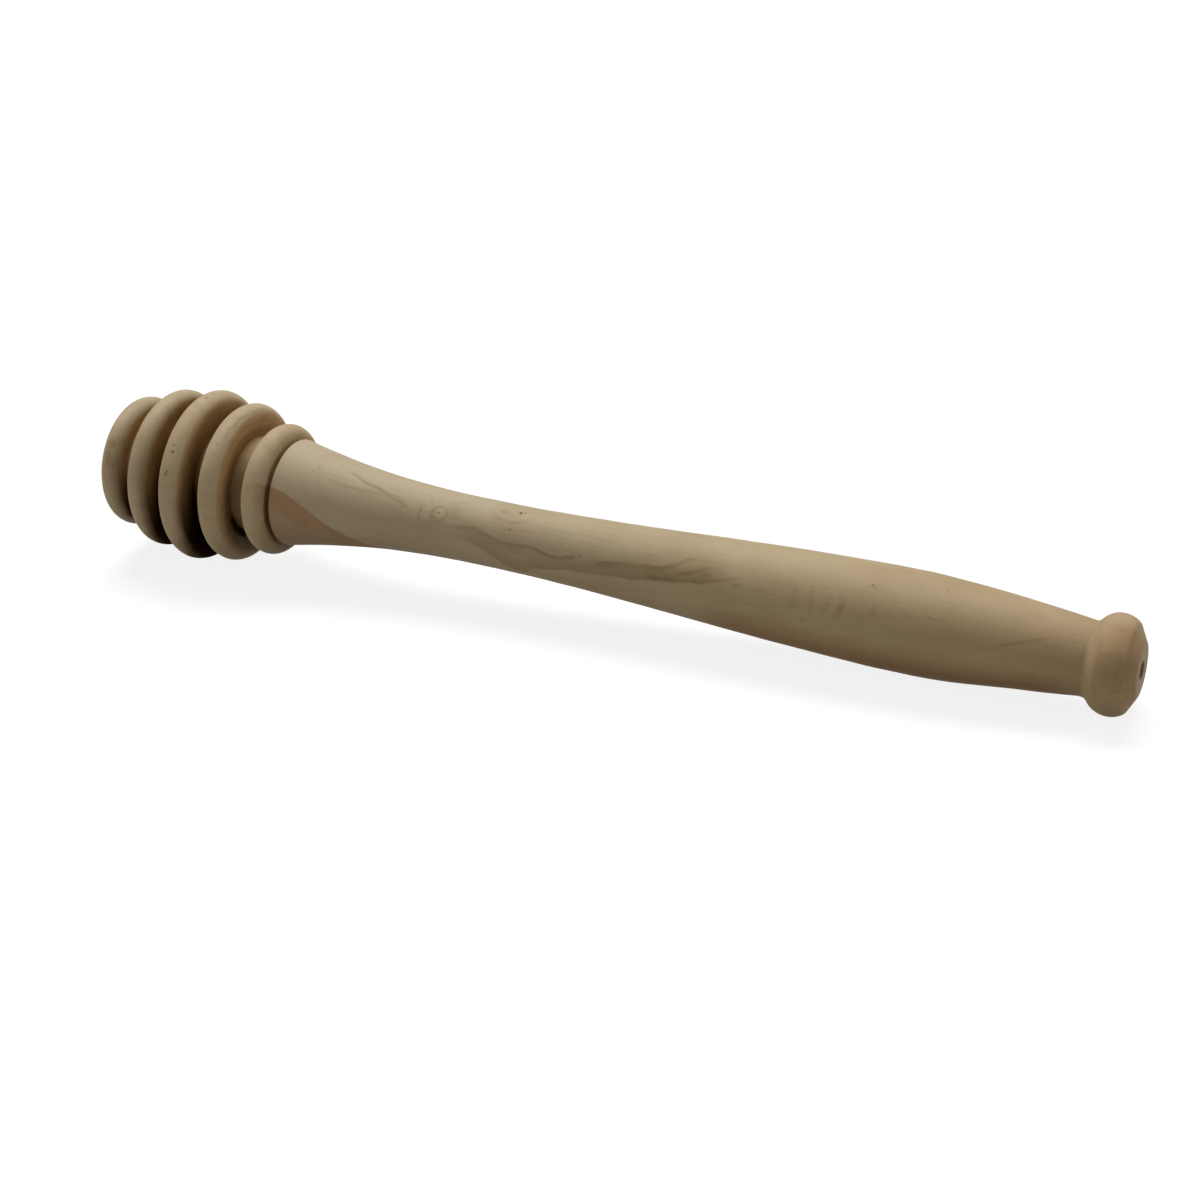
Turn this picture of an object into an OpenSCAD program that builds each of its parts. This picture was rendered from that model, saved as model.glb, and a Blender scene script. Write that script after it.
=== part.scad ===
// Wooden honey dipper, turned in one piece on a lathe.
// It lies along +X with the grooved head at -X and the knob at +X. +Z is up.
// The origin is under the middle of its length, level with the bottom of the widest ring.
// All sizes are in millimetres.

/* [Overall] */
// Length from the head's flat end to the knob's flat end
dipper_l = 180; // [145:1:220]

/* [Grooved head] */
// Distance from one ring to the next, along the axis
ring_pitch = 7.1; // [6:0.1:9]
// Thickness of each ring, whose rim is a full half round
ring_t = 4; // [3:0.1:4.8]
// Diameter of the first and last rings
end_ring_d = 23; // [21:0.1:26]
// Diameter of the second and fourth rings
second_ring_d = 27.8; // [24:0.1:29.8]
// Diameter of the middle ring
middle_ring_d = 30; // [28:0.1:34]
// Diameter of the core between the rings
core_d = 16.8; // [13:0.1:17.4]

/* [Cut between head and handle] */
// Width of the cut at its mouth, from the last ring to the shoulder
shoulder_cut_w = 1; // [0.6:0.1:2]
// Width of the cut at its floor
cut_floor_w = 0.3; // [0.2:0.1:0.5]
// Depth of the cut below the edge of the shoulder
shoulder_cut_depth = 2; // [1:0.1:3]

/* [Handle] */
// Diameter of the shoulder, where the handle starts
shoulder_d = 18.8; // [16.5:0.1:20]
// Diameter of the neck, the slimmest place
neck_d = 11.3; // [9:0.1:14]
// Distance from the shoulder to the neck
shoulder_to_neck = 37.6; // [30:0.2:46]
// How soon the flare closes in on the neck, with 2 for a plain parabola
flare_power = 2.25; // [2:0.05:3]
// Diameter of the swell that fills the hand
swell_d = 16.6; // [14.5:0.1:20]
// Distance from the swell to the crease before the knob
swell_to_crease = 27; // [20:0.5:34]
// How straight the handle tapers to the crease, with 1 for a plain cone
taper_power = 1.45; // [1.2:0.05:2]
// Diameter at the crease
crease_d = 12; // [10:0.1:13.5]

/* [Knob] */
// Diameter of the knob
knob_d = 16; // [15:0.1:18]
// Radius of the knob's round rim, in a section along the axis
knob_rim_r = 4; // [3.4:0.1:4.6]
// Distance from the middle of the knob's rim to its flat end
knob_to_end = 4; // [3.4:0.1:5]
// Diameter of the flat end
end_face_d = 8.6; // [6:0.1:10]
// Slope of the bevel round the flat end, in degrees away from the end's plane
bevel_angle = 28; // [20:1:36]
// Diameter of the mark that the lathe's centre left in the flat end
centre_mark_d = 2.2; // [1:0.1:3]
// Depth of that mark
centre_mark_depth = 1.3; // [0.5:0.1:2]

/* [Hidden] */
$fn = 96;

ring_ds = [end_ring_d, second_ring_d, middle_ring_d, second_ring_d, end_ring_d];
last_ring = len(ring_ds) - 1;
rim_r = ring_t / 2;
head_l = last_ring * ring_pitch + ring_t;

// Distance along the axis from the head's flat end to the middle of ring i
function ring_s(i) = rim_r + i * ring_pitch;

// Places along the handle, counted from the head's flat end
shoulder_s = head_l + shoulder_cut_w;
neck_s = shoulder_s + shoulder_to_neck;
knob_s = dipper_l - knob_to_end;
rim_centre_r = knob_d / 2 - knob_rim_r;
crease_s = knob_s - sqrt(pow(knob_rim_r, 2) - pow(crease_d / 2 - rim_centre_r, 2));
swell_s = crease_s - swell_to_crease;

// Points that each smooth stretch of the outline is drawn with
flare_steps = 24;
grip_steps = 32;
taper_steps = 20;

// The flare falls fast from the shoulder and levels out at the neck
function flare_outline() = [
    for (k = [0 : flare_steps])
        let (t = k / flare_steps)
        [(neck_d + (shoulder_d - neck_d) * pow(1 - t, flare_power)) / 2,
         shoulder_s + t * (neck_s - shoulder_s)]
];

// The grip eases out from the neck to the swell, level at both ends
function grip_outline() = [
    for (k = [1 : grip_steps])
        let (t = k / grip_steps)
        [(neck_d + (swell_d - neck_d) * (1 - cos(180 * t)) / 2) / 2,
         neck_s + t * (swell_s - neck_s)]
];

// Behind the swell the handle tapers to the crease
function taper_outline() = [
    for (k = [1 : taper_steps])
        let (t = k / taper_steps)
        [(swell_d - (swell_d - crease_d) * pow(t, taper_power)) / 2,
         swell_s + t * (crease_s - swell_s)]
];

// Half section of one ring: a flat disc with a half-round rim
module ring_section(d) {
    translate([0, -rim_r]) square([d / 2 - rim_r, ring_t]);
    translate([d / 2 - rim_r, 0]) circle(r = rim_r);
}

// Half section of the head, whose core runs from the first ring into the last
module head_section() {
    square([core_d / 2, ring_s(last_ring)]);
    for (i = [0 : last_ring])
        translate([0, ring_s(i)]) ring_section(ring_ds[i]);
}

// Half section of the handle, from inside the last ring to the middle of the knob
module handle_section() {
    cut_floor_d = shoulder_d - 2 * shoulder_cut_depth;
    polygon(concat(
        [[0, ring_s(last_ring)],
         [cut_floor_d / 2, ring_s(last_ring)],
         [cut_floor_d / 2, head_l + cut_floor_w]],
        flare_outline(),
        grip_outline(),
        taper_outline(),
        [[crease_d / 2, knob_s],
         [0, knob_s]]));
}

// Half section of the knob: a round rim that a bevel cuts down to the flat end
module knob_section() {
    bevel_l = (knob_d - end_face_d) * tan(bevel_angle);
    intersection() {
        union() {
            translate([rim_centre_r, knob_s]) circle(r = knob_rim_r);
            translate([0, crease_s]) square([rim_centre_r, dipper_l - crease_s]);
        }
        polygon([[0, crease_s],
                 [knob_d - end_face_d / 2, crease_s],
                 [knob_d - end_face_d / 2, dipper_l - bevel_l],
                 [end_face_d / 2, dipper_l],
                 [0, dipper_l]]);
    }
}

// Cone-shaped mark of the lathe's centre, in the middle of the flat end
module centre_mark() {
    mark_slope = centre_mark_d / 2 / centre_mark_depth;
    translate([0, 0, dipper_l - centre_mark_depth])
        cylinder(h = 2 * centre_mark_depth, r1 = 0, r2 = 2 * centre_mark_depth * mark_slope);
}

// The whole dipper, standing on its head along +Z
module turned_dipper() {
    difference() {
        rotate_extrude() {
            head_section();
            handle_section();
            knob_section();
        }
        centre_mark();
    }
}

module dipper() {
    color("burlywood")
        translate([-dipper_l / 2, 0, middle_ring_d / 2])
            rotate([0, 90, 0]) turned_dipper();
}

dipper();
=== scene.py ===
import bisect
import math

import bmesh
import bpy
from mathutils import Matrix, Vector, noise


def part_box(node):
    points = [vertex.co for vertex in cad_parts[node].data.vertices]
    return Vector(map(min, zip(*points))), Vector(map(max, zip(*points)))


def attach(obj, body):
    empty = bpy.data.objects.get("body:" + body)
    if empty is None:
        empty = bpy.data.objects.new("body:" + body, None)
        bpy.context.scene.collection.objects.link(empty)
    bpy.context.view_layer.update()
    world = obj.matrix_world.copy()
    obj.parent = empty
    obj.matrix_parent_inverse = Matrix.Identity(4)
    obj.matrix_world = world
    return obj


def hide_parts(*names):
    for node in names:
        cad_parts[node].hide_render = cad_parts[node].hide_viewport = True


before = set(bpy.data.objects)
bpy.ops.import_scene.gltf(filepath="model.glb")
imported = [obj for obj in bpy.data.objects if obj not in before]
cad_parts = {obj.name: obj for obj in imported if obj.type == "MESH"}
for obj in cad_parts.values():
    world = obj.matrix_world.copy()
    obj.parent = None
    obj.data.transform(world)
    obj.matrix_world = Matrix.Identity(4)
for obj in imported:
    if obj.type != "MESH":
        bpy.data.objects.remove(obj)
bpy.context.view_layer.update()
node_low, node_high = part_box("dipper")

# A millimetre in the scene's own unit
MM = 0.001

# The turned piece, in millimetres. A station is the distance from the head's flat end.
LENGTH = (node_high.x - node_low.x) / MM
AXIS_HEIGHT = (node_high.z + node_low.z) / 2 / MM
RING_PITCH = 7.1
RING_T = 4.0
RIM_R = RING_T / 2
RING_RADII = (11.5, 13.9, 15.0, 13.9, 11.5)
CORE_R = 8.4
HEAD_L = 4 * RING_PITCH + RING_T
CUT_W = 1.0
CUT_FLOOR_W = 0.3
CUT_DEPTH = 2.0
SHOULDER_R = 9.4
NECK_R = 5.65
FLARE_L = 37.6
FLARE_POWER = 2.25
SWELL_R = 8.3
SWELL_TO_CREASE = 27.0
TAPER_POWER = 1.45
CREASE_R = 6.0
KNOB_R = 8.0
KNOB_RIM_R = 4.0
KNOB_TO_END = 4.0
END_FACE_R = 4.3
BEVEL_ANGLE = math.radians(28)
MARK_R = 1.1
MARK_DEPTH = 1.3

# Places along the piece that follow from the sizes
SHOULDER_S = HEAD_L + CUT_W
NECK_S = SHOULDER_S + FLARE_L
KNOB_S = LENGTH - KNOB_TO_END
RIM_CENTRE_R = KNOB_R - KNOB_RIM_R
CREASE_S = KNOB_S - math.sqrt(KNOB_RIM_R ** 2 - (CREASE_R - RIM_CENTRE_R) ** 2)
SWELL_S = CREASE_S - SWELL_TO_CREASE

# How finely the outline is drawn and turned
TURN_STEPS = 160
RIM_STEPS = 18
KNOB_STEPS = 26
FINE_STEP = 0.5
EDGE_ROUND = 0.28
ROUND_SEGMENTS = 3
SHARP_ANGLE = math.radians(17)
CREASE_WEAR = 0.65
END_WEAR = 0.28
KNOB_STEP = 0.2
CREASE_REACH = 4.0
MEAN_SAMPLES = 8
FACE_STEP = 1.0

# Places this near in metres are one, and a radius this small in millimetres is on the axis
SAME_PLACE = 1e-7
ON_AXIS = 0.01

# What the hand and the drying of the wood did to the true turned form: the knob leans, the surface
# wanders and is dented, and the underside is worn flat between the stations where that comes and goes
KNOB_LEAN = math.radians(1.6)
LEAN_STARTS = 1.5
WANDER = 0.045
WANDER_LENGTH = 9.0
WANDER_ROUND = 0.35
DENT = 0.035
DENT_LENGTH = 4.2
FLAT_DEPTH = 0.3
FLAT_COMES = (148.0, 163.0)
FLAT_GOES = (173.5, 171.0)


def straight(start, end, step=FINE_STEP):
    """Points from start to end, about a step apart, with both ends."""
    count = max(1, round(math.dist(start, end) / step))
    return [
        (start[0] + (end[0] - start[0]) * i / count, start[1] + (end[1] - start[1]) * i / count)
        for i in range(count + 1)
    ]


def arc(centre, radius, first, last, steps):
    """Points of an arc. Its angles count from straight outwards, growing towards the knob."""
    points = []
    for i in range(steps + 1):
        angle = first + (last - first) * i / steps
        points.append((centre[0] + radius * math.sin(angle), centre[1] + radius * math.cos(angle)))
    return points


def stretch(first_s, last_s, radius_at):
    """Points of a smooth stretch, whose radius is a formula of the share of the way along it."""
    count = round((last_s - first_s) / FINE_STEP)
    return [
        (first_s + (last_s - first_s) * i / count, radius_at(i / count))
        for i in range(count + 1)
    ]


def head_outline():
    """Five discs with half-round rims on one core."""
    points = straight((0, 0), (0, RING_RADII[0] - RIM_R), FACE_STEP)
    for i, ring_r in enumerate(RING_RADII):
        middle = RIM_R + i * RING_PITCH
        front = middle - RIM_R
        back = middle + RIM_R
        if i > 0:
            points += straight((front, CORE_R), (front, ring_r - RIM_R))
        points += arc((middle, ring_r - RIM_R), RIM_R, -math.pi / 2, math.pi / 2, RIM_STEPS)
        if i < len(RING_RADII) - 1:
            points += straight((back, ring_r - RIM_R), (back, CORE_R))
            points += straight((back, CORE_R), (front + RING_PITCH, CORE_R))
    cut_floor = SHOULDER_R - CUT_DEPTH
    points += straight((HEAD_L, RING_RADII[-1] - RIM_R), (HEAD_L, cut_floor))
    points += straight((HEAD_L, cut_floor), (HEAD_L + CUT_FLOOR_W, cut_floor))
    points += straight((HEAD_L + CUT_FLOOR_W, cut_floor), (SHOULDER_S, SHOULDER_R))
    return points


def handle_outline():
    """The flare falls to the neck, the grip swells to fill the hand, and the end tapers."""
    flare = stretch(
        SHOULDER_S, NECK_S,
        lambda t: NECK_R + (SHOULDER_R - NECK_R) * (1 - t) ** FLARE_POWER,
    )
    grip = stretch(
        NECK_S, SWELL_S,
        lambda t: NECK_R + (SWELL_R - NECK_R) * (1 - math.cos(math.pi * t)) / 2,
    )
    taper = stretch(
        SWELL_S, CREASE_S,
        lambda t: SWELL_R - (SWELL_R - CREASE_R) * t ** TAPER_POWER,
    )
    return flare + grip + taper


def knob_outline():
    """A round bead that a bevel cuts down to the flat end, with the mark of the lathe's centre."""
    bevel_out = math.pi / 2 - BEVEL_ANGLE
    from_end = (END_FACE_R - RIM_CENTRE_R) * math.cos(bevel_out) + KNOB_TO_END * math.sin(bevel_out)
    meets_bevel = bevel_out - math.acos(from_end / KNOB_RIM_R)
    starts = math.asin((CREASE_S - KNOB_S) / KNOB_RIM_R)
    points = arc((KNOB_S, RIM_CENTRE_R), KNOB_RIM_R, starts, meets_bevel, KNOB_STEPS)
    points += straight(points[-1], (LENGTH, END_FACE_R))
    points += straight((LENGTH, END_FACE_R), (LENGTH, MARK_R))
    points += straight((LENGTH, MARK_R), (LENGTH - MARK_DEPTH, 0))
    return points


def smooth_step(low, high, value):
    """0 below low, 1 above high, and an even ease between them."""
    t = min(1, max(0, (value - low) / (high - low)))
    return t * t * (3 - 2 * t)


def soften(outline, step):
    """Rounds each corner by the mean of the way near it, widely at the crease and less at the end."""
    lengths = [0]
    for here, there in zip(outline, outline[1:]):
        lengths.append(lengths[-1] + math.dist(here, there))

    def point_at(distance):
        i = min(max(bisect.bisect_right(lengths, distance) - 1, 0), len(outline) - 2)
        span = lengths[i + 1] - lengths[i]
        share = (distance - lengths[i]) / span if span else 0
        here, there = outline[i], outline[i + 1]
        return here[0] + (there[0] - here[0]) * share, here[1] + (there[1] - here[1]) * share

    count = round(lengths[-1] / step)
    samples = range(-MEAN_SAMPLES, MEAN_SAMPLES + 1)
    softened = []
    for i in range(count + 1):
        distance = lengths[-1] * i / count
        to_end = smooth_step(KNOB_S, LENGTH, point_at(distance)[0])
        wear = CREASE_WEAR + (END_WEAR - CREASE_WEAR) * to_end
        near = min(wear, distance, lengths[-1] - distance)
        around = [point_at(distance + near * k / MEAN_SAMPLES) for k in samples]
        softened.append(tuple(sum(values) / len(around) for values in zip(*around)))
    return softened


def dipper_outline():
    """The whole outline. The crease, the knob's bevel and its end are worn round."""
    handle = handle_outline()
    worn = [point for point in handle if point[0] > CREASE_S - CREASE_REACH]
    fresh = [point for point in handle if point[0] <= CREASE_S - CREASE_REACH]
    return head_outline() + fresh + soften(worn + knob_outline(), KNOB_STEP)


OUTLINE = dipper_outline()


def radius_at(station):
    """The outline's largest radius near a station."""
    return max(radius for place, radius in OUTLINE if abs(place - station) < FINE_STEP)


def turn(outline):
    """Spins the outline about the axis of the piece, as the lathe does, and rounds its sharp edges."""
    bm = bmesh.new()
    last = None
    for station, radius in outline:
        place = Vector((node_low.x + station * MM, 0, (AXIS_HEIGHT + radius) * MM))
        if last and (place - last.co).length < SAME_PLACE:
            continue
        vert = bm.verts.new(place)
        if last:
            bm.edges.new((last, vert))
        last = vert
    bmesh.ops.spin(
        bm,
        geom=bm.verts[:] + bm.edges[:],
        cent=(0, 0, AXIS_HEIGHT * MM),
        axis=(1, 0, 0),
        angle=2 * math.pi,
        steps=TURN_STEPS,
        use_merge=True,
        use_duplicate=False,
    )
    bmesh.ops.remove_doubles(bm, verts=bm.verts[:], dist=SAME_PLACE)
    bmesh.ops.recalc_face_normals(bm, faces=bm.faces[:])
    sharp = [e for e in bm.edges if e.is_manifold and e.calc_face_angle() > SHARP_ANGLE]
    bmesh.ops.bevel(
        bm,
        geom=sharp,
        offset=EDGE_ROUND * MM,
        offset_type="OFFSET",
        segments=ROUND_SEGMENTS,
        profile=0.5,
        affect="EDGES",
        material=-1,
    )
    bmesh.ops.recalc_face_normals(bm, faces=bm.faces[:])
    for face in bm.faces:
        face.smooth = True
    return bm


def sculpt(bm):
    """Takes the lathe's perfection away: the knob leans a little and the surface wanders."""
    lean = math.tan(KNOB_LEAN)
    for vert in bm.verts:
        station = (vert.co.x - node_low.x) / MM
        up = vert.co.z / MM - AXIS_HEIGHT
        side = vert.co.y / MM
        radius = math.hypot(side, up)
        if radius > ON_AXIS:
            seed = Vector((station, side * WANDER_ROUND, up * WANDER_ROUND)) / WANDER_LENGTH
            dent_seed = Vector((station, side, up)) / DENT_LENGTH
            change = -WANDER * (1 + noise.noise(seed)) - DENT * (1 + noise.noise(dent_seed))
            change *= min(1, radius / CREASE_R)
            flat = smooth_step(*FLAT_COMES, station) * smooth_step(*FLAT_GOES, station)
            change -= FLAT_DEPTH * flat * smooth_step(0, radius, -up)
            scale = 1 + change / radius
            vert.co.y = side * scale * MM
            vert.co.z = (AXIS_HEIGHT + up * scale) * MM
        leaning = smooth_step(CREASE_S - LEAN_STARTS, KNOB_S, station)
        vert.co.x -= leaning * lean * (up + END_FACE_R) * MM


def make_dipper():
    bm = turn(OUTLINE)
    sculpt(bm)
    mesh = bpy.data.meshes.new("turned_dipper")
    bm.to_mesh(mesh)
    bm.free()
    dipper = bpy.data.objects.new("turned_dipper", mesh)
    bpy.context.scene.collection.objects.link(dipper)
    return dipper


# Colours of the wood as linear values: four by tone, and two for patches
PALE = (0.51, 0.435, 0.315, 1)
CREAM = (0.445, 0.37, 0.258, 1)
TAN = (0.325, 0.25, 0.155, 1)
BROWN = (0.15, 0.098, 0.05, 1)
ROSE = (0.36, 0.212, 0.118, 1)
AMBER = (0.40, 0.27, 0.145, 1)
CREAM_TONE = 0.3
TAN_TONE = 0.62

# Shares that the colour keeps: on end grain; as painted shade low in the grooves, under the rings, in the
# grooves by their depth and on the handle's underside;
# and by station along the piece, where it yellows
END_GRAIN = (0.91, 0.80, 0.64, 1)
GROOVE_PAINTED_SHADE = (0.20, 0.12, 0.05, 1)
UNDER_RING_PAINTED_SHADE = (0.13, 0.075, 0.03, 1)
GROOVE_DEPTH_SHADE = (0.97, 0.89, 0.76, 1)
HANDLE_UNDERSIDE_SHADE = (0.62, 0.48, 0.36, 1)
YELLOWING = [
    (0, (1.0, 0.955, 0.895, 1)), (20, (1.0, 0.95, 0.875, 1)), (33, (1.0, 0.95, 0.875, 1)),
    (34.5, (1.0, 1.0, 0.99, 1)), (70, (1.0, 0.99, 0.965, 1)),
    (125, (0.98, 0.93, 0.83, 1)), (165, (0.92, 0.83, 0.72, 1)), (180, (0.92, 0.82, 0.70, 1)),
]


def add(tree, kind, **settings):
    """Adds a node and gives it its settings."""
    node = tree.nodes.new(kind)
    for name, value in settings.items():
        setattr(node, name, value)
    return node


def feed(tree, socket, value):
    """Joins a socket to another node's output, or sets it to a plain value."""
    if isinstance(value, bpy.types.NodeSocket):
        tree.links.new(value, socket)
    elif value is not None:
        socket.default_value = value


def calc(tree, operation, first, second=None, third=None):
    """One step of a sum over the surface."""
    node = add(tree, "ShaderNodeMath", operation=operation)
    for socket, value in zip(node.inputs, (first, second, third)):
        feed(tree, socket, value)
    return node.outputs[0]


def remap(tree, value, low, high, to_low=0.0, to_high=1.0, ease="LINEAR"):
    """Stretches the span from low to high over another span, and stops at its ends."""
    node = add(tree, "ShaderNodeMapRange", interpolation_type=ease)
    for socket, item in zip(node.inputs, (value, low, high, to_low, to_high)):
        feed(tree, socket, item)
    return node.outputs[0]


def product(tree, *values):
    """The values multiplied together."""
    result = values[0]
    for value in values[1:]:
        result = calc(tree, "MULTIPLY", result, value)
    return result


def squared(tree, value):
    return calc(tree, "POWER", value, 2.0)


def centred(tree, value):
    """A value from 0 to 1, moved to lie round 0."""
    return calc(tree, "SUBTRACT", value, 0.5)


def apart(tree, first, second):
    """How far two values lie apart."""
    return calc(tree, "ABSOLUTE", calc(tree, "SUBTRACT", first, second))


def total(tree, parts, start):
    """The sum of soft marks, each times its own tone. A mark is made just before it is added."""
    for mask, tone in parts:
        start = calc(tree, "MULTIPLY_ADD", mask, tone, start)
    return start


def speckle(tree, place, scale, detail=2.0, roughness=0.5, output="Fac"):
    """Noise over the wood, from 0 to 1, with its grain size set by scale."""
    node = add(tree, "ShaderNodeTexNoise")
    feed(tree, node.inputs["Vector"], place)
    node.inputs["Scale"].default_value = scale
    node.inputs["Detail"].default_value = detail
    node.inputs["Roughness"].default_value = roughness
    return node.outputs[output]


def blend(tree, kind, share, first, second):
    """Mixes two colours in the given way."""
    node = add(tree, "ShaderNodeMix", data_type="RGBA", blend_type=kind)
    feed(tree, node.inputs[0], share)
    feed(tree, node.inputs[6], first)
    feed(tree, node.inputs[7], second)
    return node.outputs[2]


def ramp(tree, value, stops):
    """A row of colours along a value from 0 to 1."""
    node = add(tree, "ShaderNodeValToRGB")
    feed(tree, node.inputs[0], value)
    elements = node.color_ramp.elements
    while len(elements) < len(stops):
        elements.new(0.5)
    for element, (position, colour) in zip(elements, stops):
        element.position = position
        element.color = colour
    return node.outputs[0]


# How far the figure strays from the lines that are drawn for it, and the size of its turns
STRAY = 0.9
STRAY_SCALE = 0.32
STRAY_DETAIL = 3.0

# Spans for the measures below: the share of the surface's direction along the axis that makes it end
# grain, and the degrees from the top that make the lower side, with its shares
END_GRAIN_FACING = (0.82, 0.99)
LOW_SIDE = (25.0, 85.0, 0.3, 1.0)

# Degrees between which lines are drawn, the fade at their ends, a spot's edge as shares of its size, and
# the share of a speck's size where it is full
LINE_ANGLES = (-60, 180)
LINE_ENDS = 2.0
SPOT_EDGE = (1.3, 0.4)
SPECK_CORE = 1 / 3


class Wood:
    """The wood's own measures at each point: the station, the way round and the radius."""

    def __init__(self, tree):
        self.tree = tree
        coordinates = add(tree, "ShaderNodeTexCoord")
        millimetres = add(tree, "ShaderNodeMapping")
        feed(tree, millimetres.inputs["Vector"], coordinates.outputs["Object"])
        millimetres.inputs["Location"].default_value = (-node_low.x / MM, 0, -AXIS_HEIGHT)
        millimetres.inputs["Scale"].default_value = (1 / MM, 1 / MM, 1 / MM)
        self.place = millimetres.outputs[0]
        wobble = speckle(tree, self.place, STRAY_SCALE, STRAY_DETAIL, output="Color")
        evened = add(tree, "ShaderNodeVectorMath", operation="SUBTRACT")
        feed(tree, evened.inputs[0], wobble)
        evened.inputs[1].default_value = (0.5, 0.5, 0.5)
        shifted = add(tree, "ShaderNodeVectorMath", operation="MULTIPLY_ADD")
        feed(tree, shifted.inputs[0], evened.outputs[0])
        shifted.inputs[1].default_value = (STRAY, STRAY, STRAY)
        feed(tree, shifted.inputs[2], self.place)
        self.wavy = shifted.outputs[0]
        parts = add(tree, "ShaderNodeSeparateXYZ")
        feed(tree, parts.inputs[0], self.wavy)
        self.station, self.side, self.up = parts.outputs
        towards = calc(tree, "MULTIPLY", self.side, -1.0)
        self.angle = calc(tree, "DEGREES", calc(tree, "ARCTAN2", towards, self.up))
        self.from_top = calc(tree, "ABSOLUTE", self.angle)
        across = squared(tree, self.side)
        height = squared(tree, self.up)
        self.radius = calc(tree, "SQRT", calc(tree, "ADD", across, height))
        facing = add(tree, "ShaderNodeSeparateXYZ")
        feed(tree, facing.inputs[0], coordinates.outputs["Normal"])
        self.along_axis = calc(tree, "ABSOLUTE", facing.outputs[0])
        self.end_grain = remap(tree, self.along_axis, *END_GRAIN_FACING, ease="SMOOTHSTEP")
        self.in_rings = remap(tree, self.station, SHOULDER_S, HEAD_L)
        self.low_side = remap(tree, self.from_top, *LOW_SIDE)

    def grain(self, place, along, across, detail, roughness):
        """Noise that is stretched along the grain, by its sizes in millimetres."""
        stretched = add(self.tree, "ShaderNodeMapping")
        feed(self.tree, stretched.inputs["Vector"], place)
        stretched.inputs["Scale"].default_value = (1 / along, 1 / across, 1 / across)
        return speckle(self.tree, stretched.outputs[0], 1.0, detail, roughness)

    def curve(self, points, low, high):
        """A value that follows given points along the station."""
        tree = self.tree
        first, last = points[0][0], points[-1][0]
        share = remap(tree, self.station, float(first), float(last))
        node = add(tree, "ShaderNodeFloatCurve")
        line = node.mapping.curves[0]
        while len(line.points) < len(points):
            line.points.new(0.5, 0.5)
        for point, (station, value) in zip(line.points, points):
            point.location = ((station - first) / (last - first), (value - low) / (high - low))
            point.handle_type = "AUTO"
        node.mapping.update()
        feed(tree, node.inputs["Value"], share)
        return remap(tree, node.outputs[0], 0.0, 1.0, float(low), float(high))

    def below(self, points):
        """How far this place lies below a drawn line, in millimetres round the piece."""
        tree = self.tree
        line_angle = self.curve(points, *LINE_ANGLES)
        turned = calc(tree, "RADIANS", calc(tree, "SUBTRACT", self.angle, line_angle))
        return calc(tree, "MULTIPLY", turned, self.radius)

    def reach(self, first, last, fade):
        """1 between two stations, fading to 0 at both."""
        tree = self.tree
        comes = remap(tree, self.station, float(first), first + fade, ease="SMOOTHSTEP")
        goes = remap(tree, self.station, float(last), last - fade, ease="SMOOTHSTEP")
        return calc(tree, "MULTIPLY", comes, goes)

    def line(self, points, above, below):
        """A drawn line that fades over one distance above it and over another below it."""
        tree = self.tree
        from_line = self.below(points)
        upper = remap(tree, from_line, -above, 0.0, ease="SMOOTHSTEP")
        lower = remap(tree, from_line, below, 0.0, ease="SMOOTHSTEP")
        span = points[-1][0] - points[0][0]
        ends = self.reach(points[0][0], points[-1][0], min(LINE_ENDS, span / 3))
        return product(tree, upper, lower, ends)

    def stroke(self, station, first_angle, last_angle, half_width):
        """A short soft mark across the grain."""
        tree = self.tree
        core = remap(tree, apart(tree, self.station, station), half_width, 0.0, ease="SMOOTHSTEP")
        middle = (first_angle + last_angle) / 2
        half = (last_angle - first_angle) / 2
        ends = remap(tree, apart(tree, self.angle, middle), half, half / 2, ease="SMOOTHSTEP")
        return calc(tree, "MULTIPLY", core, ends)

    def from_oval(self, station, angle, half_along, half_round):
        """Distance from a point on the surface, where 1 is the edge of an oval."""
        tree = self.tree
        along = calc(tree, "SUBTRACT", self.station, float(station))
        along = squared(tree, calc(tree, "DIVIDE", along, float(half_along)))
        turned = calc(tree, "RADIANS", calc(tree, "SUBTRACT", self.angle, float(angle)))
        turned = calc(tree, "DIVIDE", calc(tree, "MULTIPLY", turned, self.radius), float(half_round))
        return calc(tree, "SQRT", calc(tree, "ADD", along, squared(tree, turned)))

    def spot(self, station, angle, half_along, half_round):
        """A soft oval, 1 in its middle."""
        distance = self.from_oval(station, angle, half_along, half_round)
        return remap(self.tree, distance, *SPOT_EDGE, ease="SMOOTHSTEP")

    def eye(self, station, angle, half_along, half_round):
        """The rim of an oval."""
        distance = self.from_oval(station, angle, half_along, half_round)
        from_rim = apart(self.tree, distance, 1.0)
        return remap(self.tree, from_rim, EYE_RIM, 0.0, ease="SMOOTHSTEP")

    def arc(self, radius):
        """A growth line on the upper half of the fourth ring's side."""
        tree = self.tree
        aside = squared(tree, calc(tree, "SUBTRACT", self.side, ARC_CENTRE[0]))
        above = squared(tree, calc(tree, "SUBTRACT", self.up, ARC_CENTRE[1]))
        from_centre = calc(tree, "SQRT", calc(tree, "ADD", aside, above))
        on_line = remap(tree, apart(tree, from_centre, radius), ARC_HALF, 0.0, ease="SMOOTHSTEP")
        return product(tree, on_line, self.reach(*ARC_REACH), remap(tree, self.up, *ARC_RISE))

    def speck(self, station, angle, size):
        """A tiny round mark at its true place."""
        tree = self.tree
        radius = radius_at(station)
        turned = math.radians(angle)
        node = add(tree, "ShaderNodeVectorMath", operation="DISTANCE")
        feed(tree, node.inputs[0], self.place)
        node.inputs[1].default_value = (station, -radius * math.sin(turned), radius * math.cos(turned))
        return remap(tree, node.outputs["Value"], size, size * SPECK_CORE, ease="SMOOTHSTEP")


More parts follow.
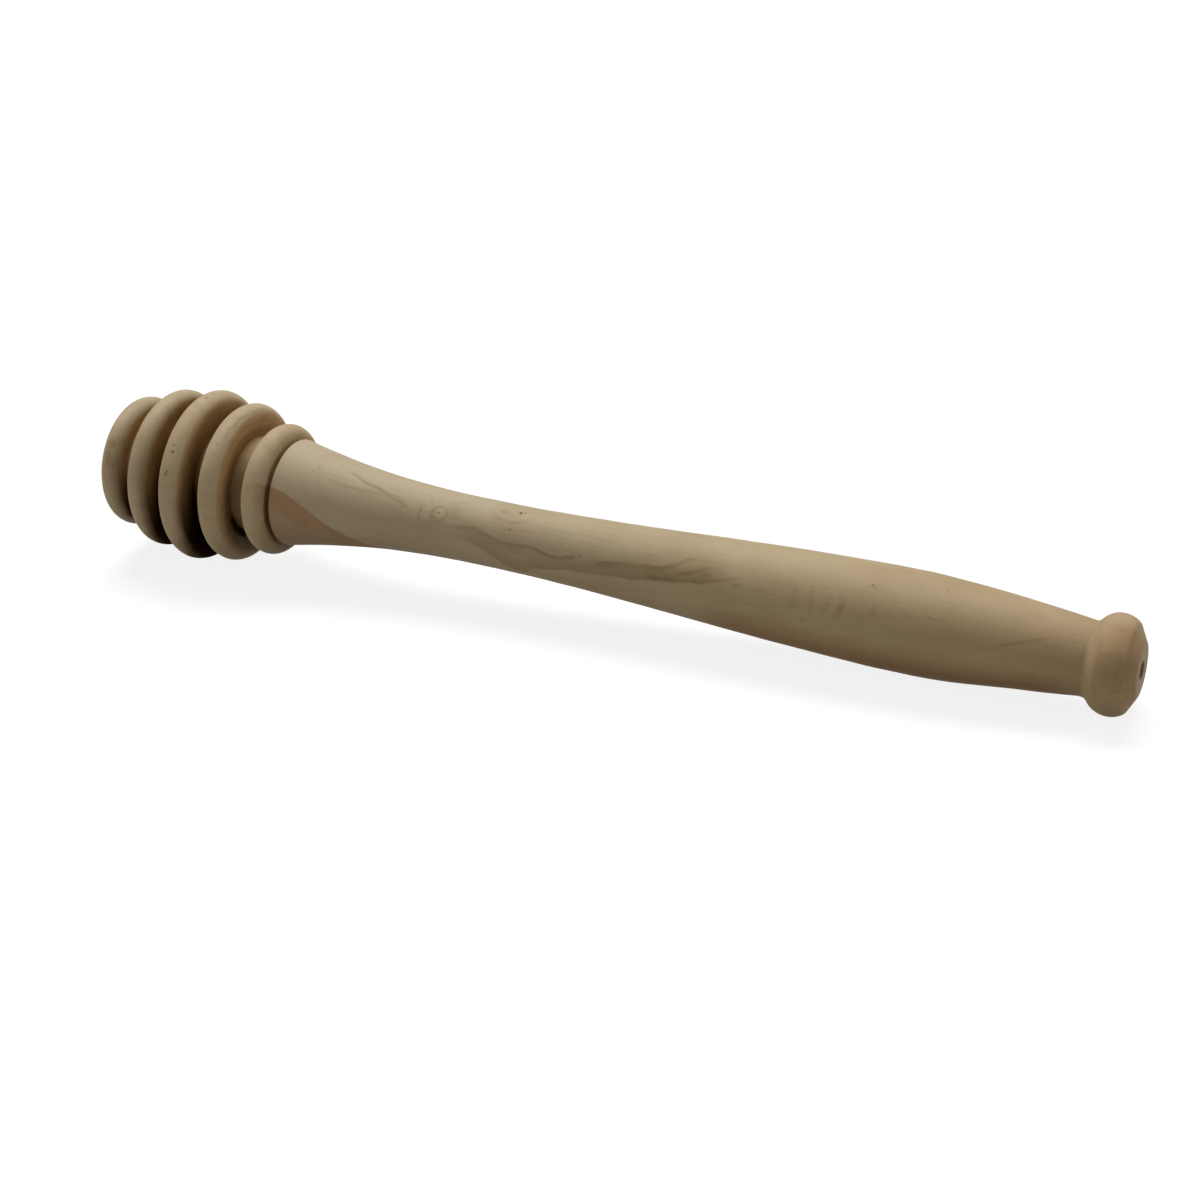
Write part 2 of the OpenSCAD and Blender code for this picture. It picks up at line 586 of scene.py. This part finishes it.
# The figure as the photo shows it. Each point is a station in millimetres and the degrees round from
# the top towards the front. A line has its points, its fade above and below in millimetres, and its tone.
LINES = [
    ([(44.5, 13), (47.5, 20), (50.5, 27), (53, 34), (55.5, 41), (57.2, 46), (58.7, 52)], 0.7, 0.35, 0.20),
    ([(49, 21), (52, 27), (55.5, 35), (58, 41)], 0.3, 0.3, 0.09),
    ([(41.5, 33), (45, 37), (48, 38.5), (50.5, 36), (52.5, 38), (54.5, 44)], 0.4, 0.6, 0.12),
    ([(39, 24), (43, 27), (48, 29)], 0.5, 0.5, 0.06),
    ([(60.2, 8), (60.9, 20), (62.4, 31)], 0.4, 0.5, 0.10),
    ([(63.9, 32), (64.6, 26), (66, 18), (68.3, 11)], 0.4, 0.5, 0.10),
    ([(59.5, 66), (62, 63.5), (65.5, 63), (68, 60)], 0.4, 0.8, 0.08),
    ([(71.8, 12), (73, 25), (75, 34), (77.5, 31), (80.3, 19)], 0.35, 0.6, 0.13),
    ([(73.6, 11), (75.4, 21), (78, 13)], 0.3, 0.3, 0.09),
    ([(80, 30), (85, 34), (91, 33), (97, 36)], 0.5, 0.5, 0.06),
    ([(78, 46), (84, 44), (90, 46), (96, 50)], 0.6, 0.4, 0.07),
    ([(66, 66), (67.5, 61.5), (69.5, 60), (71.5, 61), (73.5, 67), (75.5, 71.5), (79, 72)], 0.5, 1.1, 0.20),
    ([(77, 72), (81, 70), (83.5, 75), (85.5, 76.5), (87.6, 72.5), (90, 66)], 0.28, 0.8, 0.30),
    ([(92, 69), (95, 68.5), (97.5, 63.5), (100.5, 60), (103.2, 58.5), (105.5, 53.5), (106.8, 47.5),
      (107.8, 42), (109, 39), (110.3, 40.5)], 0.35, 1.2, 0.21),
    ([(106.2, 61), (107.5, 60), (109, 57.5), (110.8, 51), (112, 46.5), (113.2, 43)], 0.35, 0.6, 0.17),
    ([(108.6, 72), (110, 69), (112, 66), (114.5, 59.5), (116, 56), (117.5, 51.5), (118.6, 41)],
     0.8, 0.5, 0.12),
    ([(101, 76), (104.8, 76.5), (106.2, 76), (108, 74)], 1.2, 0.5, 0.12),
    ([(119, 66), (121, 62.5), (123.5, 60)], 0.5, 0.5, 0.06),
    ([(98.5, 50), (101.5, 46), (104.3, 41)], 0.4, 0.5, 0.10),
    ([(108, 40), (112, 37), (117, 38), (121, 43)], 0.6, 0.6, 0.06),
    ([(33.6, 66), (35.5, 80), (38, 100), (39.5, 128)], 1.3, 1.0, 0.14),
    ([(34.5, 100), (38, 112), (43, 124), (47, 134)], 0.3, 0.6, 0.12),
    ([(146.5, 45), (148, 51), (149.7, 54), (151.3, 50), (152.7, 44)], 0.5, 0.4, 0.10),
    ([(148.5, 39), (150.5, 31), (152.5, 38)], 0.3, 0.5, 0.08),
    ([(157.6, 88), (158.2, 78), (158.9, 71), (160.2, 65), (162, 60), (164.3, 51), (167.5, 43)],
     0.4, 0.9, 0.15),
]

# Short marks across the grain: station, the degrees they start and end at, half their width, and their tone
STROKES = [
    (60.0, 34, 66, 0.45, 0.17), (61.3, 34, 60, 0.40, -0.10), (62.2, 30, 62, 0.25, 0.06),
    (86.3, 50, 63, 0.22, 0.15), (150.0, 9, 19, 0.25, 0.22), (173.6, 36, 104, 0.9, -0.13),
    (172.1, -180, 180, 0.5, 0.10),
]

# Soft ovals: station, degrees, half their length, half their breadth, and their tone
SPOTS = [
    (2.1, 52, 0.9, 1.0, 0.26), (2.0, 64, 0.6, 1.7, 0.22), (3.3, 60, 0.8, 1.8, -0.14),
    (39.2, 98, 1.2, 1.1, 0.14), (74.5, 15, 1.0, 0.7, 0.12),
    (63.4, 46, 0.9, 0.75, -0.12), (111.7, 56, 1.2, 0.6, 0.12), (117.2, 62, 0.8, 0.5, 0.12),
    (126.0, 47, 0.8, 0.6, 0.07), (127.0, 53, 0.6, 0.8, 0.08), (127.2, 65.5, 1.2, 1.2, 0.08),
    (128.8, 84.5, 0.7, 0.5, 0.08), (129.6, 48.5, 0.4, 1.0, 0.07), (129.8, 60, 0.45, 1.8, 0.09),
    (130.1, 71, 0.5, 1.2, 0.05), (131.5, 44, 0.4, 0.7, 0.07), (132.4, 57, 0.5, 1.6, 0.08),
    (131.9, 70, 0.6, 1.1, 0.08), (133.6, 60, 0.4, 1.8, -0.06), (134.1, 50, 0.45, 1.0, 0.08),
    (134.9, 58, 0.6, 1.6, 0.13), (134.4, 67, 0.7, 1.3, 0.10), (133.7, 74, 0.9, 0.9, 0.05),
    (132.8, 83.5, 0.6, 0.5, 0.07), (138.2, 69, 0.8, 0.7, 0.08), (138.8, 30, 0.8, 0.25, 0.14),
    (140.0, 55, 0.5, 1.0, 0.08), (139.8, 61.5, 0.8, 0.6, 0.08),
    (177.2, 68, 2.6, 3.6, 0.19), (66.0, 38, 1.6, 1.5, 0.05), (103.0, 20, 9.0, 2.4, 0.05),
]

# Amber patches: station, degrees, half their length, half their breadth, and share
AMBER_SPOTS = [(176.4, 26, 2.6, 2.8, 0.45), (174.5, 84, 0.9, 4.5, 0.4), (2.1, 52, 0.9, 1.0, 0.5)]

# Pits and specks: station, degrees, size, and tone
SPECKS = [
    (63.4, 46, 0.30, 0.45), (77.2, 12, 0.42, 0.75), (77.9, 9, 0.25, 0.5), (76.6, 49, 0.35, 0.30),
    (16.5, 47, 0.32, 0.45), (16.7, 51.5, 0.45, 0.55), (16.5, 64.5, 0.30, 0.5), (16.3, 66.5, 0.35, 0.55),
    (16.7, 2, 0.42, 0.45), (16.9, -5, 0.40, 0.45), (17.3, -10, 0.30, 0.3), (23.8, 38.5, 0.30, 0.4),
    (22.9, 35.5, 0.26, 0.3), (30.7, 25.5, 0.30, 0.3), (39.5, 30, 0.24, 0.3), (44.8, 68, 0.24, 0.4),
    (138.7, 29.5, 0.28, 0.35), (89.8, 66.5, 0.26, 0.45), (176.8, 19, 0.5, 0.18), (177.4, 28, 0.5, 0.18),
]

# A browner band along the side, and the edge of the ruddy wood under the flare
BAND_TOP = [
    (66, 66), (70, 60), (75, 72), (81, 70), (85, 76), (90, 68), (97, 64), (104, 55), (108, 46),
    (114, 36),
]
BAND_FLOOR = [
    (60, 82), (64, 86), (67.5, 82.5), (69.5, 84), (72, 93), (74.5, 104), (76.5, 119), (79, 125),
    (81, 112), (83, 105), (87, 97), (92, 90.5), (97, 86), (100, 84.5), (104, 77.5), (109, 71),
    (113, 63), (117, 52), (119, 44),
]
FLARE_EDGE = [(33, 59), (35.2, 63), (38, 71), (40.7, 81), (43, 93), (45.8, 107), (48, 118), (52, 136)]
BAND_TONE = 0.28
FLARE_TONE = 0.27

# Rings round the eyes of knots: station, degrees, half the length, half the breadth, and tone
EYES = [(63.5, 46.5, 1.35, 1.25, 0.15)]
EYE_RIM = 0.32

# Growth lines on the fourth ring's side: their radii and tone, their centre as side and height, half
# their width, their reach along the piece with its fade, and the heights between which they come
ARCS = [(9.8, 0.16), (11.6, 0.16), (13.2, 0.16)]
ARC_CENTRE = (-1.0, 0.0)
ARC_HALF = 0.4
ARC_REACH = (23.9, 26.6, 0.6)
ARC_RISE = (7.0, 10.0)

# How the growth layers rise and fall along the piece, station and height in millimetres, their gap, and
# where their pith lies
LAYER_HEIGHT = [
    (0, 9), (16, 11.5), (33, 12.5), (40.7, 9.4), (45.8, 6.2), (54.5, 4.9), (60, 2.9), (68, 2.6),
    (75, 0.7), (82, 0.9), (91.5, 1.9), (104, 3.6), (113, 5.0), (130, 7.4), (146, 8.6), (160, 11),
    (180, 13),
]
LAYER_GAP = 2.1
PITH_DEPTH = 34.0
PITH_SIDE = 9.0

# The head's outer form, station and radius, from which the depth in a groove is counted
HEAD_FORM = [(0, 11.5), (2, 11.5), (9.1, 13.9), (16.2, 15), (23.3, 13.9), (30.4, 11.5), (33.4, 9.0)]


# How the layers of growth drift, how fast a layer's tone fades, and the share that its edge takes
LAYER_RANGE = (-2, 16)
DRIFT = 2.6
DRIFT_SCALE = 0.09
LAYER_FADE = 3.0
LAYER_EDGE = (0.0, 0.14)


def growth(wood):
    """Layers of growth round a pith far below the piece. Each darkens slowly and ends at once."""
    tree = wood.tree
    below = squared(tree, calc(tree, "ADD", wood.up, PITH_DEPTH))
    aside = squared(tree, calc(tree, "SUBTRACT", wood.side, PITH_SIDE))
    from_pith = calc(tree, "SQRT", calc(tree, "ADD", below, aside))
    from_pith = calc(tree, "SUBTRACT", from_pith, PITH_DEPTH)
    depth = calc(tree, "SUBTRACT", from_pith, wood.curve(LAYER_HEIGHT, *LAYER_RANGE))
    drift = speckle(tree, wood.place, DRIFT_SCALE)
    depth = calc(tree, "MULTIPLY_ADD", drift, DRIFT, depth)
    share = calc(tree, "FRACT", calc(tree, "DIVIDE", depth, LAYER_GAP))
    fading = calc(tree, "POWER", calc(tree, "SUBTRACT", 1.0, share), LAYER_FADE)
    return product(tree, fading, remap(tree, share, *LAYER_EDGE, ease="SMOOTHSTEP"))


# The even ground. A noise has its size along and across the grain, its detail and its roughness. A span
# has the values where it starts and ends, and then what they become, or else 0 and 1.
PATCH_SCALE = 0.16
PATCH_SPAN = (0.35, 0.7, 0.02, 0.12)
END_LAYER_TONE = 0.12
BROAD = (22.0, 6.0, 2.0, 0.5)
BROAD_TONE = 0.24
FIBRE = (6.0, 0.42, 3.0, 0.6)
FIBRE_TONE = 0.15
PORES = (1.0, 0.13, 2.0, 0.5)
PORE_SPAN = (0.64, 0.78)
PORE_TONE = 0.10
MOTTLE = (0.5, 2.0, 0.6)
MOTTLE_TONE = 0.4
BEAD_SPAN = (CREASE_S - 2, CREASE_S + 1)
# Painted light: the rings' lower, front side is made paler by a tone below 0
LOWER_RIM_PAINTED_LIGHT = -0.15


def ground(wood):
    """The tone of layers, patches, fibre and pores, with the head and the knob mottled, and painted light
    on the rings' lower side.
    """
    tree = wood.tree
    layer_tone = remap(tree, speckle(tree, wood.place, PATCH_SCALE), *PATCH_SPAN)
    layer_tone = calc(tree, "MULTIPLY_ADD", wood.end_grain, END_LAYER_TONE, layer_tone)
    tone = product(tree, growth(wood), layer_tone)
    broad = wood.grain(wood.place, *BROAD)
    tone = total(tree, [(centred(tree, broad), BROAD_TONE)], tone)
    fibre = wood.grain(wood.wavy, *FIBRE)
    tone = total(tree, [(centred(tree, fibre), FIBRE_TONE)], tone)
    pores = remap(tree, wood.grain(wood.place, *PORES), *PORE_SPAN, ease="SMOOTHSTEP")
    tone = total(tree, [(pores, PORE_TONE)], tone)
    mottled = centred(tree, speckle(tree, wood.place, *MOTTLE))
    in_bead = remap(tree, wood.station, *BEAD_SPAN)
    mottled = product(tree, mottled, calc(tree, "MAXIMUM", in_bead, wood.in_rings))
    lower_rims_painted_light = product(tree, wood.low_side, wood.in_rings)
    tone = total(tree, [(mottled, MOTTLE_TONE), (lower_rims_painted_light, LOWER_RIM_PAINTED_LIGHT)], tone)
    return tone, fibre, pores


def figure(wood):
    """The drawn marks together."""
    kinds = (
        (wood.line, LINES), (wood.stroke, STROKES), (wood.spot, SPOTS), (wood.eye, EYES),
        (wood.arc, ARCS),
    )
    drawn = 0.0
    for make, marks in kinds:
        drawn = total(wood.tree, ((make(*mark), tone) for *mark, tone in marks), drawn)
    return drawn


# The edges of the brown band and of the ruddy wood, in millimetres below the drawn line, and their reach
# along the piece with its fade
BAND_TOP_EDGE = (-0.3, 1.2)
BAND_FLOOR_EDGE = (0.25, -0.15)
BAND_DEEPENS = (-3.5, 0.0, 0.45, 1.0)
BAND_REACH = (66, 117, 7.0)
FLARE_EDGE_SPAN = (-0.12, 0.3)
FLARE_PALES = (5.0, 0.0, 0.55, 1.0)
FLARE_REACH = (31, 53, 2.0)


def brown_band(wood):
    """Brown wood along the side, darkest at its floor."""
    tree = wood.tree
    under_top = remap(tree, wood.below(BAND_TOP), *BAND_TOP_EDGE, ease="SMOOTHSTEP")
    below_floor = wood.below(BAND_FLOOR)
    over_floor = remap(tree, below_floor, *BAND_FLOOR_EDGE, ease="SMOOTHSTEP")
    deepening = remap(tree, below_floor, *BAND_DEEPENS)
    return product(tree, under_top, over_floor, deepening, wood.reach(*BAND_REACH))


def ruddy_flare(wood):
    """Ruddy wood under the flare, palest far below its edge."""
    tree = wood.tree
    below_edge = wood.below(FLARE_EDGE)
    inside = remap(tree, below_edge, *FLARE_EDGE_SPAN, ease="SMOOTHSTEP")
    paling = remap(tree, below_edge, *FLARE_PALES)
    return product(tree, inside, paling, wood.reach(*FLARE_REACH))


# The ruddy blush over all of the wood, and how ruddy the wood under the flare is
BLUSH_SCALE = 0.11
BLUSH_DETAIL = 1.0
BLUSH_SPAN = (0.45, 0.75, 0.0, 0.17)
FLARE_BLUSH = 0.75


def fresh_colour(wood, tone, ruddy):
    """From tone to colour, with ruddy and amber patches and the slow yellowing along the piece."""
    tree = wood.tree
    colour = ramp(tree, tone, [(0.0, PALE), (CREAM_TONE, CREAM), (TAN_TONE, TAN), (1.0, BROWN)])
    blush = remap(tree, speckle(tree, wood.place, BLUSH_SCALE, BLUSH_DETAIL), *BLUSH_SPAN)
    rosy = calc(tree, "MAXIMUM", blush, product(tree, ruddy, FLARE_BLUSH))
    colour = blend(tree, "MIX", rosy, colour, ROSE)
    for *oval, share in AMBER_SPOTS:
        colour = blend(tree, "MIX", product(tree, wood.spot(*oval), share), colour, AMBER)
    share_along = remap(tree, wood.station, 0.0, LENGTH)
    yellowing = ramp(tree, share_along, [(station / LENGTH, shares) for station, shares in YELLOWING])
    return blend(tree, "MULTIPLY", 1.0, colour, yellowing)


# How far the last ring's back is spared the brown of end grain, in millimetres from the head's end
SPARED_BACK = (0.6, 1.0, 0.2, 1.0)

# The knob's raw flat end: how squarely it faces along the axis, its stations, and its paler far side
RAW_FACING = (0.95, 0.99, 0.0, 0.6)
RAW_STATIONS = (LENGTH - 1.2, LENGTH - 0.8)
RAW_SIDE = (-3.2, -0.8, 0.2, 1.0)


def cut_across(wood, colour):
    """End grain is browner, and the knob's flat end is raw."""
    tree = wood.tree
    browned = product(tree, wood.end_grain, remap(tree, apart(tree, wood.station, HEAD_L), *SPARED_BACK))
    colour = blend(tree, "MULTIPLY", browned, colour, END_GRAIN)
    raw = product(
        tree,
        remap(tree, wood.along_axis, *RAW_FACING),
        remap(tree, wood.station, *RAW_STATIONS),
        remap(tree, wood.side, *RAW_SIDE),
    )
    return blend(tree, "MIX", raw, colour, PALE)


# Painted shade in the grooves, by the depth below the head's outer form, in millimetres. On the lower side,
# by the degrees from the top, the depth counts as more and the shade is darker, and the last groove gets
# less of it.
HEAD_RANGE = (0, 16)
PAST_FLAT_END = (1.0, 3.0)
TINT_DEPTH = (0.8, 3.6)
DEEPER_BELOW = (105.0, 150.0, 0.0, 1.4)
SUNK_DEPTH = (2.2, 6.2)
LAST_GROOVE_SHADE_SHARE = (22.5, 24.5, 1.0, 0.8)
BENEATH_ANGLES = (72.0, 120.0)
BENEATH_DEPTH = (0.5, 2.1)
BENEATH_REACH = (3.2, 22.6, 0.8)
CORNER_RADII = (9.9, 9.2)
CORNER_STROKE = (25.2, 98, 160, 0.5)

# Painted shade on the underside of the handle towards the knob
HANDLE_SHADE_ANGLES = (90.0, 130.0)
HANDLE_SHADE_REACH = (108, 175, 10.0)


def paint_shade(wood, colour):
    """Paints shade into the colour: by depth in the grooves, darker on their lower side, under the rings,
    in the corner of the last groove and on the handle's underside. Also gives where shade is painted.
    """
    tree = wood.tree
    depth = calc(tree, "SUBTRACT", wood.curve(HEAD_FORM, *HEAD_RANGE), wood.radius)
    in_grooves = product(tree, wood.in_rings, remap(tree, wood.station, *PAST_FLAT_END))
    # Painted shade in the grooves, growing with their depth
    depth_shade = product(tree, remap(tree, depth, *TINT_DEPTH), in_grooves)
    colour = blend(tree, "MULTIPLY", depth_shade, colour, GROOVE_DEPTH_SHADE)
    # Painted shade deep in the grooves, darkest on their lower side
    depth = calc(tree, "ADD", depth, remap(tree, wood.from_top, *DEEPER_BELOW))
    sunk = remap(tree, depth, *SUNK_DEPTH, ease="SMOOTHSTEP")
    last_groove_share = remap(tree, wood.station, *LAST_GROOVE_SHADE_SHARE)
    sunk = product(tree, sunk, wood.low_side, in_grooves, last_groove_share)
    colour = blend(tree, "MULTIPLY", sunk, colour, GROOVE_PAINTED_SHADE)
    # Painted shade under the rims of the first four rings, on their lower side
    beneath = product(
        tree,
        remap(tree, wood.from_top, *BENEATH_ANGLES),
        remap(tree, depth, *BENEATH_DEPTH),
        wood.reach(*BENEATH_REACH),
    )
    colour = blend(tree, "MULTIPLY", beneath, colour, UNDER_RING_PAINTED_SHADE)
    # Painted shade in the corner where the core meets the fourth ring's back, on its lower side
    corner = product(tree, remap(tree, wood.radius, *CORNER_RADII), wood.stroke(*CORNER_STROKE))
    colour = blend(tree, "MULTIPLY", corner, colour, GROOVE_PAINTED_SHADE)
    # Painted shade on the handle's underside
    handle_shade = product(tree, remap(tree, wood.from_top, *HANDLE_SHADE_ANGLES), wood.reach(*HANDLE_SHADE_REACH))
    colour = blend(tree, "MULTIPLY", handle_shade, colour, HANDLE_UNDERSIDE_SHADE)
    return colour, calc(tree, "MAXIMUM", beneath, corner)


# The fine relief, with its height in millimetres and how deep pores and specks go beside the fibre
RELIEF_STRENGTH = 0.5
RELIEF_HEIGHT = 0.06
PORE_RELIEF = -0.5
SPECK_RELIEF = -6.0


def relief(wood, fibre, pores, specks):
    """Fibre, pores and specks as fine relief."""
    tree = wood.tree
    bump = add(tree, "ShaderNodeBump")
    bump.inputs["Strength"].default_value = RELIEF_STRENGTH
    bump.inputs["Distance"].default_value = RELIEF_HEIGHT * MM
    height = total(tree, [(pores, PORE_RELIEF), (specks, SPECK_RELIEF)], fibre)
    feed(tree, bump.inputs["Height"], height)
    return bump.outputs[0]


# How much the fibre breaks up the drawn marks, how rough the wood is by its tone, and how strongly it
# mirrors, down to nothing where shade is painted under the rings and in the corner
BROKEN = (0.3, 0.7, 0.8, 1.4)
ROUGHNESS = (0.1, 0.8, 0.58, 0.72)
SHEEN = (0.0, 0.5, 0.12, 0.0)


def wood_material():
    """Pale turned wood with the figure, stains and wear of the photo, with painted shade in the grooves and
    underside and painted light on the rings' lower side.
    """
    material = bpy.data.materials.new("wood")
    material.use_nodes = True
    tree = material.node_tree
    tree.nodes.clear()
    wood = Wood(tree)
    tone, fibre, pores = ground(wood)
    drawn = figure(wood)
    tone = total(tree, [(drawn, remap(tree, fibre, *BROKEN))], tone)
    specks = total(tree, ((wood.speck(*mark), share) for *mark, share in SPECKS), 0.0)
    tone = calc(tree, "ADD", tone, specks)
    tone = total(tree, [(brown_band(wood), BAND_TONE)], tone)
    ruddy = ruddy_flare(wood)
    tone = total(tree, [(ruddy, FLARE_TONE)], tone)
    tone = calc(tree, "ADD", tone, CREAM_TONE)
    colour = fresh_colour(wood, tone, ruddy)
    colour = cut_across(wood, colour)
    colour, painted_shade_mask = paint_shade(wood, colour)

    shader = add(tree, "ShaderNodeBsdfPrincipled")
    feed(tree, shader.inputs["Base Color"], colour)
    feed(tree, shader.inputs["Roughness"], remap(tree, tone, *ROUGHNESS))
    feed(tree, shader.inputs["Normal"], relief(wood, fibre, pores, specks))
    feed(tree, shader.inputs["Specular IOR Level"], remap(tree, painted_shade_mask, *SHEEN))
    output = add(tree, "ShaderNodeOutputMaterial")
    tree.links.new(shader.outputs[0], output.inputs["Surface"])
    return material


# The floor's colour for light that bounces off it, and its colour and glow where it is seen
FLOOR_BOUNCE = (0.18, 0.165, 0.14, 1)
FLOOR_SEEN = (0.2, 0.2, 0.2, 1)
FLOOR_GLOW = 0.85


def floor_material():
    """A white floor: it shows white where the light is full, and keeps a soft shadow."""
    material = bpy.data.materials.new("floor")
    material.use_nodes = True
    tree = material.node_tree
    tree.nodes.clear()
    path = add(tree, "ShaderNodeLightPath")
    bounce = add(tree, "ShaderNodeBsdfDiffuse")
    bounce.inputs["Color"].default_value = FLOOR_BOUNCE
    seen = add(tree, "ShaderNodeBsdfDiffuse")
    seen.inputs["Color"].default_value = FLOOR_SEEN
    glow = add(tree, "ShaderNodeEmission")
    glow.inputs["Strength"].default_value = FLOOR_GLOW
    shown = add(tree, "ShaderNodeAddShader")
    tree.links.new(seen.outputs[0], shown.inputs[0])
    tree.links.new(glow.outputs[0], shown.inputs[1])
    mirrored = calc(tree, "MAXIMUM", path.outputs["Is Camera Ray"], path.outputs["Is Glossy Ray"])
    mirrored = calc(tree, "MAXIMUM", mirrored, path.outputs["Is Transmission Ray"])
    mix = add(tree, "ShaderNodeMixShader")
    feed(tree, mix.inputs[0], mirrored)
    tree.links.new(bounce.outputs[0], mix.inputs[1])
    tree.links.new(shown.outputs[0], mix.inputs[2])
    output = add(tree, "ShaderNodeOutputMaterial")
    tree.links.new(mix.outputs[0], output.inputs["Surface"])
    return material


# The floor touches the middle ring and the knob
FLOOR_HALF = 1.2
MIDDLE_RING_S = RIM_R + 2 * RING_PITCH


def make_floor():
    """A large plane under the two rims that the dipper rests on."""
    span = KNOB_S - MIDDLE_RING_S
    low_centre = RING_RADII[2] - RIM_R
    high_centre = RIM_CENTRE_R
    slope = math.atan2(low_centre - high_centre, span)
    slope += math.asin((RIM_R - KNOB_RIM_R) / math.hypot(span, low_centre - high_centre))
    bm = bmesh.new()
    bmesh.ops.create_grid(bm, x_segments=1, y_segments=1, size=FLOOR_HALF)
    rim_x = node_low.x + MIDDLE_RING_S * MM
    rim_z = (AXIS_HEIGHT - low_centre) * MM
    touch = Vector((rim_x + RIM_R * MM * math.sin(slope), 0, rim_z - RIM_R * MM * math.cos(slope)))
    place = Matrix.Translation(touch) @ Matrix.Rotation(-slope, 4, "Y")
    bmesh.ops.transform(bm, matrix=place, verts=bm.verts[:])
    mesh = bpy.data.meshes.new("floor")
    bm.to_mesh(mesh)
    bm.free()
    floor = bpy.data.objects.new("floor", mesh)
    bpy.context.scene.collection.objects.link(floor)
    mesh.materials.append(floor_material())
    return floor


# The camera looks down at the dipper from the front, a little from the knob's side
CAMERA_TURN = math.radians(24.607)
CAMERA_RISE = math.radians(28.447)
CAMERA_AIM = Vector((-6.51, 16.22, -2.84)) * MM
CAMERA_DISTANCE = 400 * MM
SENSOR = 36.0
FOCAL_SHARE = 2300 / 1200


def make_camera():
    data = bpy.data.cameras.new("camera")
    data.sensor_width = SENSOR
    data.lens = SENSOR * FOCAL_SHARE
    camera = bpy.data.objects.new("camera", data)
    back = Vector((
        math.sin(CAMERA_TURN) * math.cos(CAMERA_RISE),
        -math.cos(CAMERA_TURN) * math.cos(CAMERA_RISE),
        math.sin(CAMERA_RISE),
    ))
    camera.location = CAMERA_AIM + back * CAMERA_DISTANCE
    camera.rotation_euler = back.to_track_quat("Z", "Y").to_euler()
    data.clip_start = 1 * MM
    bpy.context.scene.collection.objects.link(camera)
    bpy.context.scene.camera = camera


# Soft lamps as direction, power, width and height: a broad one above and behind, two low ones at the
# front and two at the right
LAMP_DISTANCE = 2.0
WHITE_LIGHT = (1.0, 1.0, 0.98)
WARM_LIGHT = (1.0, 0.93, 0.84)
LAMPS = {
    "main_lamp": (Vector((-0.2, 0.43, 0.87)), 48.5, 1.5, 1.0, WHITE_LIGHT),
    "left_lamp": (Vector((-0.7, -0.7, 0.1)), 11.5, 1.0, 1.0, WARM_LIGHT),
    "front_lamp": (Vector((0.0, -1.0, 0.1)), 7.5, 1.0, 1.0, WARM_LIGHT),
    "low_right_lamp": (Vector((1.0, 0.0, 0.1)), 11.0, 1.0, 1.0, WARM_LIGHT),
    "high_right_lamp": (Vector((0.87, 0.0, 0.5)), 4.0, 1.0, 1.0, WARM_LIGHT),
}
WORLD_LIGHT = 0.03
ROOM_COLOUR = (1, 0.94, 0.82, 1)
WHITE = (1, 1, 1, 1)


def make_lamp(name, towards, power, width, height, colour):
    """A soft rectangular lamp in the given direction from the dipper, facing it."""
    data = bpy.data.lights.new(name, "AREA")
    data.shape = "RECTANGLE"
    data.size = width
    data.size_y = height
    data.energy = power
    data.color = colour
    lamp = bpy.data.objects.new(name, data)
    direction = towards.normalized()
    lamp.location = direction * LAMP_DISTANCE
    lamp.rotation_euler = direction.to_track_quat("Z", "Y").to_euler()
    bpy.context.scene.collection.objects.link(lamp)


def make_world():
    """An even, dim and slightly warm room that shows white behind the floor."""
    world = bpy.data.worlds.new("world")
    bpy.context.scene.world = world
    world.use_nodes = True
    tree = world.node_tree
    tree.nodes.clear()
    path = add(tree, "ShaderNodeLightPath")
    mirrored = calc(tree, "MAXIMUM", path.outputs["Is Camera Ray"], path.outputs["Is Transmission Ray"])
    room = add(tree, "ShaderNodeBackground")
    room.inputs["Color"].default_value = ROOM_COLOUR
    room.inputs["Strength"].default_value = WORLD_LIGHT
    white = add(tree, "ShaderNodeBackground")
    white.inputs["Color"].default_value = WHITE
    white.inputs["Strength"].default_value = 1.0
    mix = add(tree, "ShaderNodeMixShader")
    feed(tree, mix.inputs[0], mirrored)
    tree.links.new(room.outputs[0], mix.inputs[1])
    tree.links.new(white.outputs[0], mix.inputs[2])
    output = add(tree, "ShaderNodeOutputWorld")
    tree.links.new(mix.outputs[0], output.inputs["Surface"])


make_camera()
for lamp_name, lamp_values in LAMPS.items():
    make_lamp(lamp_name, *lamp_values)
make_world()
make_floor()

dipper = make_dipper()
dipper.data.materials.append(wood_material())
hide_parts("dipper")
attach(dipper, "root")

bpy.context.scene.view_settings.view_transform = "Standard"
